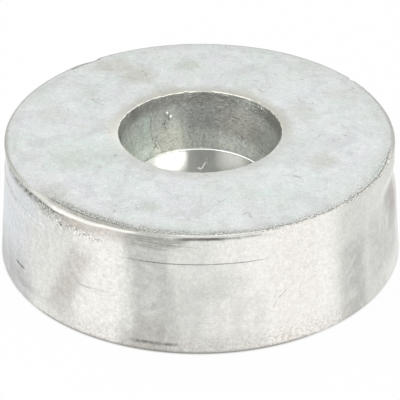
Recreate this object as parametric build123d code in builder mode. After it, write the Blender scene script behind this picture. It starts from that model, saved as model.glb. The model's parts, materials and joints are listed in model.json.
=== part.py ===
"""Tapered ring anode: one zinc casting, recessed and bored through its centre.

The ring stands on its wider end. The origin is on the bore's axis in the plane
of the base, and +Z points out of the recess. All lengths are in millimetres
and all angles in degrees.
"""
import os
from math import cos, radians, sin, tan

from build123d import *

# ---- overall casting ----
height = 40.0                 # base to flat top face
base_diameter = 128.0         # widest point, where the drafted side meets the foot
side_draft = 4.7              # slope of the side, so the ring leaves its mould
foot_radius = 0.9             # rounding of the bottom edge

# ---- collar: the band above the mould's joint line, cast in the other half ----
collar_height = 9.8
collar_diameter = 122.1
collar_offset = 0.2           # how far the two halves were out of line, along -Y

# ---- bevel dressed round the rim by hand, slightly off centre ----
bevel_width = 1.0             # mean width, measured in the top face
bevel_offset = 0.4
bevel_thin_side = -60.0       # direction in which the bevel is narrowest

# ---- bore, seat and recess ----
bore_diameter = 43.4
seat_width = 1.0              # flat ledge that a washer or nut bears on
seat_round = 0.3              # corner where the recess wall meets the seat
recess_depth = 19.0           # top face to seat
recess_draft = 9.0            # taper of the cored recess wall

# ---- shrinkage hollow that follows the joint line round one side ----
hollow_level = 11.5           # middle of the hollow, below the top face
hollow_depth = 0.85
hollow_radius = 8.0           # radius of the hollow's section
hollow_spread = 45.0          # half of the angle that it runs round the ring
hollow_direction = 0.0

# ---- chips broken from the rim: direction, length, depth ----
rim_chips = [(128.5, 7.0, 0.75), (35.0, 4.5, 0.5)]
chip_height = 1.6

# ---- sizes that follow from those above ----
base_radius = base_diameter / 2
joint_height = height - collar_height
joint_radius = base_radius - joint_height * tan(radians(side_draft))
collar_radius = collar_diameter / 2
bore_radius = bore_diameter / 2
seat_radius = bore_radius + seat_width
mouth_radius = seat_radius + recess_depth * tan(radians(recess_draft))
seat_height = height - recess_depth


def upright_section(x, y, z=0.0):
    """Plane for a turned profile: local X is the radius, local Y is up."""
    return Plane(origin=(x, y, z), x_dir=(1, 0, 0), z_dir=(0, -1, 0))


def polar(distance, direction):
    """Point in the XY plane at a distance and direction from the bore's axis."""
    return distance * cos(radians(direction)), distance * sin(radians(direction))


with BuildPart() as anode_body:
    # Drafted body, from the foot up to the joint line.
    with BuildSketch(upright_section(0, 0)):
        with BuildLine():
            Polyline(
                (0, 0),
                (base_radius, 0),
                (joint_radius, joint_height),
                (0, joint_height),
                close=True,
            )
        make_face()
    revolve(axis=Axis.Z)
    fillet(anode_body.edges().group_by(Axis.Z)[0], foot_radius)

    # Collar, set over from the body by the mismatch of the mould's halves.
    with BuildSketch(Plane.XY.offset(joint_height)):
        with Locations((0, -collar_offset)):
            Circle(collar_radius)
    extrude(amount=collar_height)

    # Hollow along the joint line. A ring-shaped cutter stands off the axis, so
    # it is deepest in one direction and runs out on both sides of it.
    hollow_shift = hollow_depth / (1 - cos(radians(hollow_spread)))
    hollow_floor = joint_radius - hollow_depth
    with Locations((*polar(-hollow_shift, hollow_direction), height - hollow_level)):
        Torus(
            hollow_floor + hollow_shift + hollow_radius,
            hollow_radius,
            mode=Mode.SUBTRACT,
        )

    # Bevel round the rim, cut about an axis of its own.
    thin_x, thin_y = polar(bevel_offset, bevel_thin_side)
    bevel_axis = (thin_x, thin_y - collar_offset)
    flat_radius = collar_radius - bevel_width
    bevel_reach = 2 * (bevel_width + bevel_offset)
    with BuildSketch(upright_section(*bevel_axis, height)):
        with BuildLine():
            Polyline(
                (flat_radius, 0),
                (flat_radius + bevel_reach, 0),
                (flat_radius + bevel_reach, -bevel_reach),
                close=True,
            )
        make_face()
    revolve(axis=Axis((*bevel_axis, 0), (0, 0, 1)), mode=Mode.SUBTRACT)

    # Chips in the rim, each a shallow scoop whose chord is the chip's length.
    for direction, length, depth in rim_chips:
        scoop_radius = (length**2 / 4 + depth**2) / (2 * depth)
        reach = flat_radius - depth + scoop_radius
        chip_x, chip_y = polar(reach, direction)
        with BuildSketch(Plane.XY.offset(height - chip_height)):
            with Locations((chip_x + bevel_axis[0], chip_y + bevel_axis[1])):
                Circle(scoop_radius)
        extrude(amount=chip_height, mode=Mode.SUBTRACT)

    # Cored recess, wider at its mouth than at the seat.
    with BuildSketch(upright_section(0, 0)):
        with BuildLine():
            Polyline(
                (0, seat_height),
                (seat_radius, seat_height),
                (mouth_radius, height),
                (0, height),
                close=True,
            )
        make_face()
    revolve(axis=Axis.Z, mode=Mode.SUBTRACT)
    seat_corner = anode_body.edges().filter_by_position(Axis.Z, seat_height, seat_height)
    fillet(seat_corner.filter_by(GeomType.CIRCLE), seat_round)

    # Straight bore from the seat through the base.
    with Locations((0, 0, height)):
        Hole(bore_radius)

os.makedirs("parts", exist_ok=True)
anode_body.part.label = "anode_body"
export_step(anode_body.part, "parts/anode_body.step")
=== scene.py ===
"""Cast zinc ring anode on a pale studio floor.

The casting is a ring with a drafted side, a collar above the mould's joint
line, a rim dressed by hand, a cored recess and a straight bore. Lengths are in
metres, but the tables, the masks of the materials and names that end in _mm or
_MM are in mm. Directions round the ring are in degrees from +X, so -90 is the
side that faces the camera.
"""
import json
import math

import bmesh
import bpy
from mathutils import Matrix, Vector, noise


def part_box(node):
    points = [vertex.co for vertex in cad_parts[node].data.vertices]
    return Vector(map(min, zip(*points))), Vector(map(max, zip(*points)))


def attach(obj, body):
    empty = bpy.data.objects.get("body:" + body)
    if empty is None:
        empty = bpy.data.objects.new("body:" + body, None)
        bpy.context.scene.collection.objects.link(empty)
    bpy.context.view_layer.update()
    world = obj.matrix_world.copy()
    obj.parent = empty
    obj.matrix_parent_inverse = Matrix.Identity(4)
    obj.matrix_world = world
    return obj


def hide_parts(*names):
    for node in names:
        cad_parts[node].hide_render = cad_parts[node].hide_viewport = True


bl_info = {
    "name": "Zinc Ring Anode",
    "version": (1, 0, 0),
    "blender": (4, 5, 0),
    "location": "3D Viewport > Sidebar > Ring Anode",
    "description": "Models a cast zinc ring anode and the studio that shows it",
    "category": "Add Mesh",
}

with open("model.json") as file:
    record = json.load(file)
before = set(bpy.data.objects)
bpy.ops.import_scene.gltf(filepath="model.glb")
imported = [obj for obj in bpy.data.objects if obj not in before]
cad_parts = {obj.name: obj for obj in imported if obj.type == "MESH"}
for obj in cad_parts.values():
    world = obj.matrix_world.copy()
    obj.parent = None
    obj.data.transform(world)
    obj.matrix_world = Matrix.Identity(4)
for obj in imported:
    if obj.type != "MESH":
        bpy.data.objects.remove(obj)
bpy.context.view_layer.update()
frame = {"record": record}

NODE = "anode_body"
BODY = "root"
MM = 0.001

cad_low, cad_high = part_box(NODE)
cad_height = cad_high.z - cad_low.z
bore_dims = next(m for m in frame["record"]["mounts"] if m["name"] == "bore")["dims"]


# ---------------------------------------------------------------- settings

def length(name, description, default_mm):
    """A size that the user sees in the scene's length unit."""
    return bpy.props.FloatProperty(
        name=name, description=description, default=default_mm * MM,
        min=0.0, unit="LENGTH", subtype="DISTANCE", precision=5,
    )


def angle(name, description, degrees):
    return bpy.props.FloatProperty(
        name=name, description=description, default=math.radians(degrees),
        unit="ROTATION", subtype="ANGLE",
    )


def share(name, description, default, most=1.0):
    return bpy.props.FloatProperty(
        name=name, description=description, default=default,
        min=0.0, max=most, subtype="FACTOR",
    )


def colour(name, description, default):
    return bpy.props.FloatVectorProperty(
        name=name, description=description, default=default,
        size=3, min=0.0, max=1.0, subtype="COLOR",
    )


class AnodeCastingSizes(bpy.types.PropertyGroup):
    """Sizes of the casting."""

    height: length("Height", "Base to top face", cad_height / MM)
    base_diameter: length("Base Diameter", "Sharp corner at the foot of the side", 128.0)
    side_draft: angle("Side Draft", "Slope of the side", 4.7)
    foot_radius: length("Foot Radius", "Rounding of the bottom edge", 0.9)
    collar_height: length("Collar Height", "Band above the mould's joint line", 9.8)
    collar_diameter: length("Collar Diameter", "Width of that band", 122.1)
    collar_offset: length("Collar Offset", "Mismatch of the mould's halves, along -Y", 0.35)
    bevel_width: length(
        "Bevel Width", "Measure of the dressed bevel, which varies round the rim", 1.1)
    bore_diameter: length("Bore Diameter", "Straight lower bore", 2 * bore_dims["r_mm"])
    seat_width: length("Seat Width", "Ledge between recess and bore", 1.0)
    seat_round: length("Seat Rounding", "Rounding of the seat's inner edge", 0.36)
    recess_depth: length(
        "Recess Depth", "Top face to seat", cad_height / MM - bore_dims["length_mm"])
    recess_draft: angle("Recess Draft", "Taper of the recess wall", 9.0)
    lip_width: length("Lip Width", "Broken edge round the mouth of the recess", 0.18)
    core_lean: length("Core Lean", "Shift of the recess's mouth, mostly along +Y", 0.50)
    segments: bpy.props.IntProperty(
        name="Segments", description="Divisions round the ring", default=560, min=96)


class AnodeFinish(bpy.types.PropertyGroup):
    """Colours and gloss of the zinc."""

    face_colour: colour("Face", "Top face", (0.660, 0.688, 0.674))
    side_colour: colour("Side", "Drafted side and collar", (0.79, 0.79, 0.75))
    rim_colour: colour("Rim", "Freshly dressed metal on the rim", (0.82, 0.82, 0.77))
    recess_colour: colour("Recess", "Cored wall of the recess", (0.625, 0.645, 0.62))
    bore_colour: colour("Bore", "Smooth bored metal", (0.86, 0.87, 0.84))
    tarnish_colour: colour("Tarnish", "Warm grey oxide", (0.49, 0.48, 0.43))
    # Also the colour of painted shadow: along the side's foot and round the feet of the recess's
    # bumps.
    dirt_and_shade_colour: colour("Dirt", "Grey-brown skin in rough metal", (0.20, 0.19, 0.17))
    face_roughness: share("Face Roughness", "Satin of the top face", 0.46)
    side_roughness: share("Side Roughness", "Sheen of the side", 0.30)
    recess_roughness: share("Recess Roughness", "Dullness of the cored wall", 0.42)
    bore_roughness: share("Bore Roughness", "Polish of the bore", 0.14)


class AnodeStudio(bpy.types.PropertyGroup):
    """Floor, lamps and camera."""

    camera_distance: length("Camera Distance", "From the middle of the top face", 634.7)
    camera_elevation: angle("Camera Elevation", "Above the top face's plane", 29.48)
    camera_pitch: angle("Camera Pitch", "Tilt of the camera below level", 31.427)
    camera_roll: angle("Camera Roll", "Turn of the camera about its own line", -0.332)
    lens_mm: bpy.props.FloatProperty(
        name="Lens", description="Focal length", default=182.2, min=10.0, unit="CAMERA")
    floor_colour: colour("Floor", "Pale table", (0.93, 0.93, 0.925))
    # Painted shadow: the floor under the casting, seen through the bore, is grey where the real
    # table is only in shade.
    floor_shadow_colour: colour(
        "Hidden Floor", "Grey table under the casting, seen through the bore",
        (0.40, 0.40, 0.39))
    backdrop: share("Backdrop", "Whiteness that the lens and the metal see", 0.97)
    ambient: share("Ambient", "Plain light from all round", 0.60)


SETTINGS = (
    ("anode_casting", AnodeCastingSizes),
    ("anode_finish", AnodeFinish),
    ("anode_studio", AnodeStudio),
)


# ---------------------------------------------------------------- small maths

def smoothstep(low, high, value):
    """0 below low, 1 above high, smooth between."""
    t = min(1.0, max(0.0, (value - low) / (high - low)))
    return t * t * (3 - 2 * t)


def turn_between(direction, middle):
    """Signed angle in degrees from middle to direction, the short way round."""
    return (direction - middle + 180.0) % 360.0 - 180.0


def window(direction, start, end, soft):
    """1 between two directions, fading to 0 over soft degrees outside them."""
    middle, half = (start + end) / 2, (end - start) / 2
    return 1 - smoothstep(half, half + soft, abs(turn_between(direction, middle)))


def bump_profile(distance, reach):
    """Round hill that is 1 in the middle and 0 at reach."""
    t = min(1.0, distance / reach)
    return (1 - t * t) ** 2


def fine_noise(direction, height, around, upwards, seed=0.0):
    """Smooth noise on the ring, with no seam: around features per radian."""
    a = math.radians(direction)
    return noise.noise(
        Vector((math.cos(a) * around, math.sin(a) * around, height * upwards + seed)))


# ---------------------------------------------------------------- the casting

TINY = 0.02 * MM
WELD_DISTANCE = 0.002 * MM

# Distances from the rim's sharp corner: how far the hand work reaches, and where the
# bevel's own scale begins and ends its fade into the rest, with a later end where the
# bevel is deep.
RIM_REACH = 7 * MM
BEVEL_FADE_START = 1.4 * MM
BEVEL_FADE_END = 3.2 * MM
DEEP_BEVEL_FADE_END = 6.4 * MM
DEEP_BEVEL_SCALE = 1.3

# Stored on the mesh for places that the rim's wear doesn't reach.
FAR_FROM_RIM_MM = 30.0


class Section:
    """Corner sizes of the ring's section, worked out from the settings."""

    def __init__(self, sizes):
        self.top = sizes.height
        self.base_r = sizes.base_diameter / 2
        self.joint_z = sizes.height - sizes.collar_height
        self.joint_r = self.base_r - self.joint_z * math.tan(sizes.side_draft)
        self.collar_r = sizes.collar_diameter / 2
        self.bevel = sizes.bevel_width
        self.bore_r = sizes.bore_diameter / 2
        self.seat_r = self.bore_r + sizes.seat_width
        self.seat_z = sizes.height - sizes.recess_depth
        self.seat_round = sizes.seat_round
        self.mouth_r = self.seat_r + sizes.recess_depth * math.tan(sizes.recess_draft)
        self.lip = sizes.lip_width
        self.foot = sizes.foot_radius
        self.offset = sizes.collar_offset
        self.lean = sizes.core_lean
        # The recess and its lip are inside this radius, the rim and the side outside.
        self.parting_r = self.mouth_r + 8 * MM

    def runs(self):
        """Stretches of the section: (radius, height) of the start, and rows to the next."""
        rim_band = 2.6 * MM
        rim_row_z = self.top - self.bevel - rim_band
        draft = (self.base_r - self.joint_r) / self.joint_z
        mouth_slope = (self.mouth_r - self.seat_r) / (self.top - self.seat_z)
        edge = 0.25 * MM
        groove = 0.12 * MM
        crisp = 0.12 * MM
        foot_in = self.base_r - self.foot
        foot_arc = [
            (foot_in + self.foot * math.sin(a), self.foot * (1 - math.cos(a)), 1)
            for a in (math.radians(t) for t in (0, 22, 44, 66))
        ]
        seat_arc = [
            (self.bore_r + self.seat_round * (1 - math.sin(a)),
             self.seat_z - self.seat_round * (1 - math.cos(a)), 1)
            for a in (math.radians(t) for t in (0, 22, 45, 68))
        ]
        return [
            (self.bore_r, edge, 1),
            (self.bore_r + edge, 0.0, 6),
            *foot_arc,
            (self.base_r - draft * self.foot, self.foot, 35),
            (self.joint_r + draft * 3 * groove, self.joint_z - 3 * groove, 1),
            (self.joint_r, self.joint_z - groove, 1),
            (self.collar_r, self.joint_z + groove, 1),
            (self.collar_r, self.joint_z + 3 * groove, 7),
            (self.collar_r, rim_row_z, 11),
            (self.collar_r, self.top - self.bevel, 4),
            (self.collar_r - self.bevel, self.top, 5),
            (self.collar_r - BEVEL_FADE_END, self.top, 22),
            (self.mouth_r + 3 * self.lip, self.top, 2),
            (self.mouth_r + self.lip, self.top, 3),
            (self.mouth_r - mouth_slope * self.lip, self.top - self.lip, 1),
            (self.mouth_r - mouth_slope * (self.lip + crisp), self.top - self.lip - crisp, 24),
            (self.seat_r + mouth_slope * crisp, self.seat_z + crisp, 1),
            (self.seat_r, self.seat_z, 1),
            (self.seat_r - crisp, self.seat_z, 1),
            *seat_arc,
            (self.bore_r, self.seat_z - self.seat_round, 1),
            (self.bore_r, self.seat_z - self.seat_round - crisp, 14),
        ]


def spin_section(section, segments):
    """The ring as a turned form: its section, divided into rows and spun once round."""
    bm = bmesh.new()
    runs = section.runs()
    corners = [bm.verts.new((r, 0.0, z)) for r, z, _ in runs]
    edges = [bm.edges.new((a, b)) for a, b in zip(corners, corners[1:] + corners[:1])]
    for edge, (_, _, rows) in zip(edges, runs):
        if rows > 1:
            bmesh.ops.subdivide_edges(bm, edges=[edge], cuts=rows - 1)
    bmesh.ops.spin(
        bm, geom=bm.verts[:] + bm.edges[:], cent=(0, 0, 0), axis=(0, 0, 1),
        dvec=(0, 0, 0), angle=math.tau, steps=segments, use_merge=True,
        use_duplicate=False,
    )
    bmesh.ops.remove_doubles(bm, verts=bm.verts[:], dist=WELD_DISTANCE)
    bmesh.ops.recalc_face_normals(bm, faces=bm.faces[:])
    return bm


# Zones of the ring, in the order of its material slots.
FACE, RIM, SIDE, RECESS, BORE, BASE = range(6)


def mark_zones(bm, section):
    """Gives each face the material of its zone, before the flaws are worked in."""
    for face in bm.faces:
        centre = face.calc_center_median()
        r, z = math.hypot(centre.x, centre.y), centre.z
        if z < TINY and r < section.base_r - section.foot:
            face.material_index = BASE
        elif z > section.top - TINY and r < section.collar_r - section.bevel:
            face.material_index = FACE
        elif r > section.parting_r:
            rim = z > section.top - section.bevel - TINY
            face.material_index = RIM if rim else SIDE
        elif z > section.top - section.lip - TINY:
            face.material_index = RIM
        else:
            on_seat = r < section.bore_r + section.seat_round
            face.material_index = BORE if on_seat else RECESS
        face.smooth = True


def bevel_scale(direction):
    """How wide the dressed bevel is, as a multiple of the setting, all round the rim."""
    left = window(direction, -175, -145, 20)
    front_left = window(direction, -137, -114, 12)
    front_right = window(direction, -70, -26, 10)
    right = window(direction, -12, 18, 18)
    back = window(direction, 30, 160, 20)
    scale = 0.42 + max(0.32 * left, 0.82 * front_left) + 0.50 * right + 0.16 * back
    scale -= 0.14 * front_right
    scale *= 1 + 0.22 * fine_noise(direction, 0, 3.0, 0, 5.1)
    return scale + 0.10 * fine_noise(direction, 0, 42.0, 0, 9.7)


def rough_rim(direction):
    """1 where the rim was left rough and chattered, down to a little elsewhere."""
    right_front = window(direction, -72, -14, 8)
    back = 0.6 * window(direction, 10, 150, 15)
    front = 0.35 * window(direction, -126, -72, 6)
    return max(0.10, right_front, back, front)


def joint_step(direction):
    """Share of the full step at the joint line: flush at the front and the right."""
    return 1 - 0.9 * window(direction, -118, -2, 26)


# Chips broken from the rim: direction, reach in degrees before it and beyond it,
# depth in mm.
RIM_CHIPS = (
    (125.0, 1.4, 7.0, 0.80),
    (35.2, 2.4, 1.0, 0.55),
    (-40.0, 0.9, 1.2, 0.25),
    (-47.5, 0.6, 0.9, 0.20),
    (-58.5, 0.8, 1.1, 0.22),
    (-66.0, 0.5, 0.8, 0.18),
)

# Nicks in the lip of the recess: direction, half width and depth in mm.
MOUTH_NICKS = (
    (96.4, 0.7, 0.40),
    (72.7, 0.9, 0.35),
    (42.5, 0.7, 0.35),
    (84.0, 0.6, 0.22),
    (140.0, 0.6, 0.25),
    (-88.0, 0.5, 0.20),
)


def work_rim(r, z, direction, section):
    """Uneven rounded bevel, chatter, undercut and chips round the rim."""
    corner_r, corner_z = section.collar_r, section.top
    out, up = r - corner_r, z - corner_z
    distance = math.hypot(out, up)
    if distance > RIM_REACH:
        return r, z
    width = section.bevel
    on_bevel = max(0.0, min(1.0, -up / width))
    swell = 0.0
    if out > -width and up > -width:
        swell = 0.15 * width * 4 * on_bevel * (1 - on_bevel)
    scale = bevel_scale(direction)
    blend = smoothstep(BEVEL_FADE_START, BEVEL_FADE_END, distance)
    r = corner_r + (out + swell) * (scale + (1 - scale) * blend)
    drop = scale * (1 + 0.46 * window(direction, -135, -123, 7))
    fade_end = BEVEL_FADE_END if drop < DEEP_BEVEL_SCALE else DEEP_BEVEL_FADE_END
    blend = smoothstep(BEVEL_FADE_START, fade_end, distance)
    z = corner_z + (up + swell) * (drop + (1 - drop) * blend)

    near = 1 - smoothstep(0.8 * MM, 2.4 * MM, distance)
    rough = 0.11 * MM * rough_rim(direction) * near
    r += rough * fine_noise(direction, z, 70.0, 1100.0, 1.3)
    z -= rough * 0.8 * abs(fine_noise(direction, r, 80.0, 900.0, 4.4))

    undercut = window(direction, -97, -84, 6)
    if undercut > 0:
        deep = 0.3 + 0.5 * window(direction, -97, -86, 6)
        deep *= 1 + 0.6 * fine_noise(direction, 0, 30, 0, 2.2)
        level = corner_z - 1.0 * MM
        r -= 0.26 * MM * undercut * deep * bump_profile(abs(z - level), 0.45 * MM)

    for chip, before, after, depth in RIM_CHIPS:
        turn = turn_between(direction, chip)
        reach = after if turn > 0 else before
        if abs(turn) < reach:
            hollow = bump_profile(abs(turn), reach)
            r -= depth * MM * hollow * (1 - smoothstep(1.2 * MM, 2.6 * MM, distance))
    return r, z


def work_side(r, z, direction, section):
    """Joint step, shrinkage hollow and the slow waves of a cast side."""
    full_step = section.joint_r - section.collar_r
    above = smoothstep(section.joint_z - 0.2 * MM, section.joint_z + 0.2 * MM, z)
    fade = 1 - smoothstep(section.joint_z, section.top - 1.5 * MM, z)
    r += full_step * (1 - joint_step(direction)) * above * fade * 0.9
    hairline = window(direction, -113, -66, 5) * bump_profile(
        abs(z - section.joint_z - 0.1 * MM), 0.3 * MM)
    r -= 0.14 * MM * hairline

    hollow_z = section.top - 11.8 * MM
    lower = 6.5 * MM if z < hollow_z else 6.0 * MM
    hollow = bump_profile(abs(z - hollow_z), lower) * window(direction, -16, 16, 26)
    r -= 0.95 * MM * hollow

    wave = 0.10 * fine_noise(direction, z, 4.0, 18.0, 7.0)
    ripple = 0.035 * fine_noise(direction, z, 14.0, 90.0, 3.0)
    inside = smoothstep(0.0, 2 * MM, z) * (1 - smoothstep(-2 * MM, -0.5 * MM, z - section.top))
    r += (wave + ripple) * MM * inside

    skin = rough_skin(direction, z, section)
    r += 0.07 * MM * skin * fine_noise(direction, z, 90.0, 1500.0, 6.5)
    return r


def rough_skin(direction, z, section):
    """Strength of the rough skin left below the rim at the front left."""
    depth = (section.top - z) / MM
    reach = 1.5 + 2.5 * window(direction, -165, -104, 10)
    reach += 2.3 * window(direction, -138, -120, 10) + 2.2 * window(direction, -110, -97, 6)
    ragged = 0.9 * fine_noise(direction, z, 16.0, 160.0, 8.8)
    start = smoothstep(0.7, 1.3, depth)
    end = 1 - smoothstep(reach * 0.45, reach + 0.8, depth + ragged)
    light = 1 - 0.2 * window(direction, -121, -107, 4)
    return start * end * light * window(direction, -158, -80, 14)


def work_mouth(r, z, direction, section):
    """Ragged lip round the mouth of the recess."""
    distance = math.hypot(r - section.mouth_r, z - section.top)
    near = 1 - smoothstep(0.3 * MM, 1.3 * MM, distance)
    if near == 0.0:
        return r, z
    back = 0.45 + 0.55 * window(direction, 25, 155, 20)
    ragged = 0.6 * fine_noise(direction, 0, 14.0, 0, 11.0)
    ragged += 0.6 * fine_noise(direction, 0, 38.0, 0, 12.0)
    ragged += 0.4 * fine_noise(direction, 0, 75.0, 0, 13.0)
    r += 0.56 * MM * ragged * back * near
    z -= 0.30 * MM * back * near * abs(fine_noise(direction, 0, 24.0, 0, 14.0))
    for nick, half_width, depth in MOUTH_NICKS:
        along = abs(math.radians(turn_between(direction, nick))) * section.mouth_r
        if along < half_width * MM:
            hollow = bump_profile(along, half_width * MM)
            r += depth * MM * hollow * near
            z -= 0.5 * depth * MM * hollow * near
    return r, z


def work_recess(r, z, direction, section):
    """Slow unevenness of the cored wall."""
    if r > section.mouth_r + MM or z < section.seat_z + 0.4 * MM:
        return r
    inside = 1 - smoothstep(-2 * MM, -0.4 * MM, z - section.top)
    wave = 0.10 * fine_noise(direction, z, 5.0, 60.0, 21.0)
    streak = 0.03 * fine_noise(direction, z, 40.0, 25.0, 23.0)
    return r + (wave + streak) * MM * inside


def from_rim(turned, worked, direction, section):
    """Distance in mm: inboard of the flat top's edge, across the bevel from its lower
    edge, or, as a negative number, down the side from the top."""
    turned_r, turned_z = turned
    r, z = worked
    if turned_z > section.top - TINY:
        return (section.collar_r - section.bevel * bevel_scale(direction) - r) / MM
    if turned_z > section.top - section.bevel - TINY:
        return (section.collar_r - turned_r) / MM
    return (z - section.top) / MM


def cast_shift(r, z, section):
    """Sideways shift of the mould's upper half and of the core's upper end."""
    inner = section.mouth_r + 3 * MM
    if z > section.joint_z and r > inner:
        span = section.collar_r - inner
        return Vector((0.0, -section.offset * min(1.0, (r - inner) / span)))
    if r < inner and z > section.seat_z:
        rise = (z - section.seat_z) / (section.top - section.seat_z)
        spread = 1 - smoothstep(section.mouth_r + 0.6 * MM, inner, r)
        return Vector((0.3, 1.0)) * section.lean * rise * spread
    return Vector((0.0, 0.0))


def work_forms(bm, section):
    """Moves every row of the turned ring into its cast and hand-worked form."""
    rim_layer = bm.verts.layers.float.new("from_rim")
    skin_layer = bm.verts.layers.float.new("rough_skin")
    for vert in bm.verts:
        x, y, z = vert.co
        r, direction = math.hypot(x, y), math.degrees(math.atan2(y, x))
        outer = r > section.parting_r
        if outer and z > 0.5 * MM:
            turned = (r, z)
            below_top = z < section.top - TINY
            if below_top:
                r = work_side(r, z, direction, section)
            r, z = work_rim(r, z, direction, section)
            vert[rim_layer] = from_rim(turned, (r, z), direction, section)
            if below_top:
                vert[skin_layer] = rough_skin(direction, z, section)
        elif not outer and z > section.seat_z + TINY:
            vert[rim_layer] = FAR_FROM_RIM_MM
            r = work_recess(r, z, direction, section)
            r, z = work_mouth(r, z, direction, section)
        turn = math.radians(direction)
        shift = cast_shift(r, z, section)
        vert.co = (r * math.cos(turn) + shift.x, r * math.sin(turn) + shift.y, z)


# Small flaws pressed into or raised from the surface. Each is a round hill, or a
# pit if its height is negative: zone, direction, place in mm (radius on the top
# face, height elsewhere), reach, height and how much longer it is than wide.
SMALL_FLAWS = (
    ("recess", 115.0, 34.0, 1.00, 0.70, 1.0),
    ("recess", 112.4, 32.5, 1.05, 0.75, 1.0),
    ("recess", 117.2, 31.3, 0.50, 0.30, 0.8),
    ("recess", 119.2, 30.2, 0.50, 0.32, 0.8),
    ("recess", 118.6, 29.2, 0.45, 0.28, 1.0),
    ("recess", 127.5, 25.2, 0.80, 0.75, 0.7),
    ("recess", 126.6, 24.2, 0.85, 0.80, 0.8),
    ("recess", 125.2, 23.3, 0.70, 0.60, 1.0),
    ("recess", 129.5, 23.2, 0.50, 0.32, 1.0),
    ("recess", 126.3, 35.1, 0.50, 0.28, 0.8),
    ("recess", 61.8, 37.7, 0.60, 0.38, 1.4),
    ("recess", 39.4, 38.9, 1.05, 0.65, 0.5),
    ("recess", 54.0, 26.5, 0.80, -0.16, 1.5),
    ("top", -3.7, 45.6, 0.55, -0.20, 1.4),
    ("top", -8.7, 52.9, 0.50, -0.16, 1.0),
    ("top", -63.2, 51.3, 0.60, -0.24, 1.3),
    ("top", -61.6, 50.6, 0.45, -0.20, 1.0),
    ("top", -65.8, 53.4, 0.50, -0.18, 1.4),
    ("top", -118.0, 53.5, 0.50, -0.15, 1.8),
    ("top", 100.0, 50.0, 0.50, -0.12, 1.3),
    ("top", 160.0, 41.0, 0.45, -0.12, 1.0),
    ("bore", 89.6, 13.7, 0.45, -0.12, 1.6),
    ("bore", 74.6, 15.8, 0.40, -0.12, 1.4),
    ("side", -123.5, 16.9, 0.45, -0.08, 2.2),
    ("side", -104.4, 3.2, 0.55, -0.20, 6.0),
    ("side", -99.5, 3.0, 0.50, -0.16, 5.0),
    ("side", -48.6, 35.3, 0.50, -0.18, 1.4),
    ("side", -60.5, 34.6, 0.40, -0.14, 1.0),
    ("side", -68.0, 12.0, 0.45, -0.10, 1.0),
)


def flaw_centre(zone, direction, place, section):
    """Point of the surface where a small flaw sits, in metres."""
    turn, height = math.radians(direction), place * MM
    if zone == "top":
        r, height = place * MM, section.top
    elif zone == "recess":
        taper = (section.mouth_r - section.seat_r) / (section.top - section.seat_z)
        r = section.seat_r + (height - section.seat_z) * taper
    elif zone == "bore":
        r = section.bore_r
    elif height > section.joint_z:
        r = section.collar_r
    else:
        r = section.base_r - height * (section.base_r - section.joint_r) / section.joint_z
    return Vector((r * math.cos(turn), r * math.sin(turn), height))


def press_small_flaws(bm, section):
    """Divides the mesh round each small flaw, then raises or presses it."""
    pressed = bm.verts.layers.float.new("pressed")
    raised = bm.verts.layers.float.new("raised")
    for zone, direction, place, reach_mm, height_mm, stretch in SMALL_FLAWS:
        turn = math.radians(direction)
        centre = flaw_centre(zone, direction, place, section)
        along = Vector((-math.sin(turn), math.cos(turn), 0.0))
        reach = reach_mm * MM
        spread = reach * max(1.0, stretch) * 1.3
        for _ in range(2):
            edges = [
                e for e in bm.edges
                if (e.verts[0].co - centre).length < spread
                and (e.verts[1].co - centre).length < spread
                and e.calc_length() > 0.3 * reach
            ]
            if edges:
                bmesh.ops.subdivide_edges(bm, edges=edges, cuts=1, use_grid_fill=True)
        bm.normal_update()
        near = [v for v in bm.verts if (v.co - centre).length < spread]
        moves = []
        for vert in near:
            offset = vert.co - centre
            sideways = offset.dot(along)
            across = (offset - along * sideways).length
            hill = bump_profile(math.hypot(sideways / stretch, across), reach)
            moves.append((vert.normal * height_mm * MM * hill, hill))
        for vert, (move, hill) in zip(near, moves):
            vert.co += move
            layer = raised if height_mm > 0 else pressed
            vert[layer] = max(vert[layer], hill)


def build_casting(sizes, finish):
    """The whole ring as one mesh, in its place, with its materials."""
    section = Section(sizes)
    bm = spin_section(section, sizes.segments)
    mark_zones(bm, section)
    work_forms(bm, section)
    press_small_flaws(bm, section)
    bmesh.ops.recalc_face_normals(bm, faces=bm.faces[:])
    mesh = bpy.data.meshes.new("zinc_casting")
    bm.to_mesh(mesh)
    bm.free()
    for material in casting_materials(finish):
        mesh.materials.append(material)
    casting = bpy.data.objects.new("zinc_casting", mesh)
    bpy.context.scene.collection.objects.link(casting)
    return casting


# ---------------------------------------------------------------- node helpers

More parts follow.
